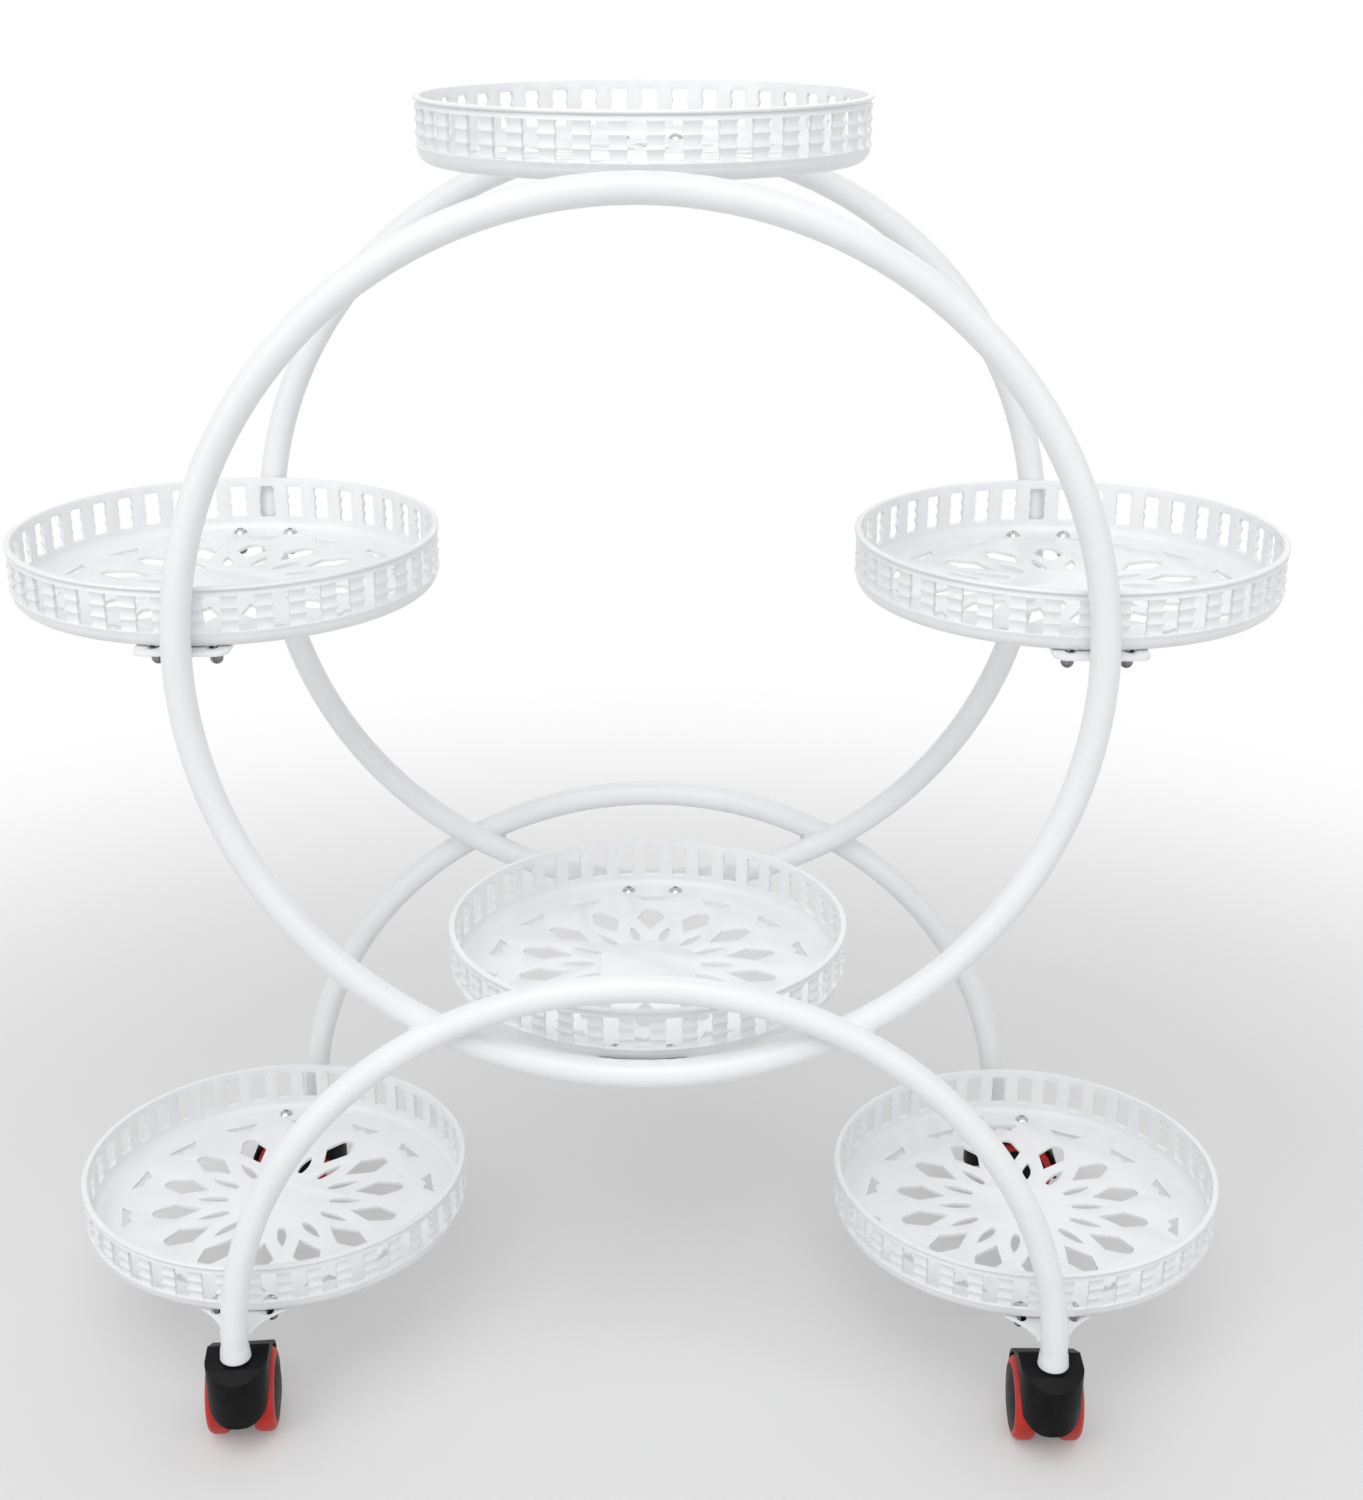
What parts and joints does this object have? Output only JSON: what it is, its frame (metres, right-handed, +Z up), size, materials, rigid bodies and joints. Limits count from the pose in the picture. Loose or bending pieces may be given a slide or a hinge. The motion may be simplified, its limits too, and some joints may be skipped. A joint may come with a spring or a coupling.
{
  "type": "rolling display shelf",
  "caption": "Rolling tiered display shelf: steel tube hoops welded to tube arches carry round pierced trays at staggered heights, on swivelling twin-wheel casters.",
  "frame": {"origin": "on the floor, under the middle of the stand", "axes": "+X to the right, +Y from front to back, +Z up"},
  "size_m": [0.73, 0.3252, 0.7705],
  "materials": {
    "frame_tube": "gloss white powder coat",
    "frame_weld": "gloss white powder coat over weld",
    "bracket": "gloss white powder coat",
    "tray": "moulded gloss white",
    "screw": "bright plated dome head",
    "nut": "bright plated cap nut",
    "ferrule": "moulded white",
    "caster_steel": "turned and plated",
    "caster_body": "moulded black nylon",
    "wheel_hub": "moulded black nylon",
    "tyre": "red polyurethane tread"
  },
  "bodies": {
    "frame": {"front_hoop": "frame_tube", "rear_hoop": "frame_tube", "front_arch": "frame_tube", "rear_arch": "frame_tube", "crossing_welds": "frame_weld", "top_tray": "tray", "top_front_bracket": "bracket", "top_rear_bracket": "bracket", "left_tray": "tray", "left_front_bracket": "bracket", "left_rear_bracket": "bracket", "right_tray": "tray", "right_front_bracket": "bracket", "right_rear_bracket": "bracket", "centre_tray": "tray", "centre_front_bracket": "bracket", "centre_rear_bracket": "bracket", "lower_left_tray": "tray", "lower_left_front_bracket": "bracket", "lower_left_rear_bracket": "bracket", "lower_right_tray": "tray", "lower_right_front_bracket": "bracket", "lower_right_rear_bracket": "bracket", "tray_screws": "screw", "tray_nuts": "nut", "front_left_ferrule": "ferrule", "front_left_stem": "caster_steel", "front_right_ferrule": "ferrule", "front_right_stem": "caster_steel", "rear_left_ferrule": "ferrule", "rear_left_stem": "caster_steel", "rear_right_ferrule": "ferrule", "rear_right_stem": "caster_steel", "stem_rings": "caster_steel"},
    "front_left_caster": {"front_left_caster_body": "caster_body", "front_left_axle": "caster_steel"},
    "front_left_left_wheel": {"front_left_left_hub": "wheel_hub", "front_left_left_tyre": "tyre"},
    "front_left_right_wheel": {"front_left_right_hub": "wheel_hub", "front_left_right_tyre": "tyre"},
    "front_right_caster": {"front_right_caster_body": "caster_body", "front_right_axle": "caster_steel"},
    "front_right_left_wheel": {"front_right_left_hub": "wheel_hub", "front_right_left_tyre": "tyre"},
    "front_right_right_wheel": {"front_right_right_hub": "wheel_hub", "front_right_right_tyre": "tyre"},
    "rear_left_caster": {"rear_left_caster_body": "caster_body", "rear_left_axle": "caster_steel"},
    "rear_left_left_wheel": {"rear_left_left_hub": "wheel_hub", "rear_left_left_tyre": "tyre"},
    "rear_left_right_wheel": {"rear_left_right_hub": "wheel_hub", "rear_left_right_tyre": "tyre"},
    "rear_right_caster": {"rear_right_caster_body": "caster_body", "rear_right_axle": "caster_steel"},
    "rear_right_left_wheel": {"rear_right_left_hub": "wheel_hub", "rear_right_left_tyre": "tyre"},
    "rear_right_right_wheel": {"rear_right_right_hub": "wheel_hub", "rear_right_right_tyre": "tyre"}
  },
  "joints": [
    {"name": "front_left_swivel", "type": "hinge", "parent": "frame", "child": "front_left_caster", "pos_m": [-0.2425, -0.142, 0.05], "axis": [0, 0, 1], "continuous": true},
    {"name": "front_left_left_wheel_spin", "type": "hinge", "parent": "front_left_caster", "child": "front_left_left_wheel", "pos_m": [-0.24438, -0.1241, 0.025], "axis": [0.9945, 0.1045, 0], "continuous": true},
    {"name": "front_left_right_wheel_spin", "type": "hinge", "parent": "front_left_caster", "child": "front_left_right_wheel", "pos_m": [-0.24438, -0.1241, 0.025], "axis": [0.9945, 0.1045, 0], "continuous": true},
    {"name": "front_right_swivel", "type": "hinge", "parent": "frame", "child": "front_right_caster", "pos_m": [0.2425, -0.142, 0.05], "axis": [0, 0, 1], "continuous": true},
    {"name": "front_right_left_wheel_spin", "type": "hinge", "parent": "front_right_caster", "child": "front_right_left_wheel", "pos_m": [0.2425, -0.124, 0.025], "axis": [1, 0, 0], "continuous": true},
    {"name": "front_right_right_wheel_spin", "type": "hinge", "parent": "front_right_caster", "child": "front_right_right_wheel", "pos_m": [0.2425, -0.124, 0.025], "axis": [1, 0, 0], "continuous": true},
    {"name": "rear_left_swivel", "type": "hinge", "parent": "frame", "child": "rear_left_caster", "pos_m": [-0.2425, 0.142, 0.05], "axis": [0, 0, 1], "continuous": true},
    {"name": "rear_left_left_wheel_spin", "type": "hinge", "parent": "rear_left_caster", "child": "rear_left_left_wheel", "pos_m": [-0.2605, 0.142, 0.025], "axis": [0, 1, 0], "continuous": true},
    {"name": "rear_left_right_wheel_spin", "type": "hinge", "parent": "rear_left_caster", "child": "rear_left_right_wheel", "pos_m": [-0.2605, 0.142, 0.025], "axis": [0, 1, 0], "continuous": true},
    {"name": "rear_right_swivel", "type": "hinge", "parent": "frame", "child": "rear_right_caster", "pos_m": [0.2425, 0.142, 0.05], "axis": [0, 0, 1], "continuous": true},
    {"name": "rear_right_left_wheel_spin", "type": "hinge", "parent": "rear_right_caster", "child": "rear_right_left_wheel", "pos_m": [0.2605, 0.142, 0.025], "axis": [0, -1, 0], "continuous": true},
    {"name": "rear_right_right_wheel_spin", "type": "hinge", "parent": "rear_right_caster", "child": "rear_right_right_wheel", "pos_m": [0.2605, 0.142, 0.025], "axis": [0, -1, 0], "continuous": true}
  ]
}
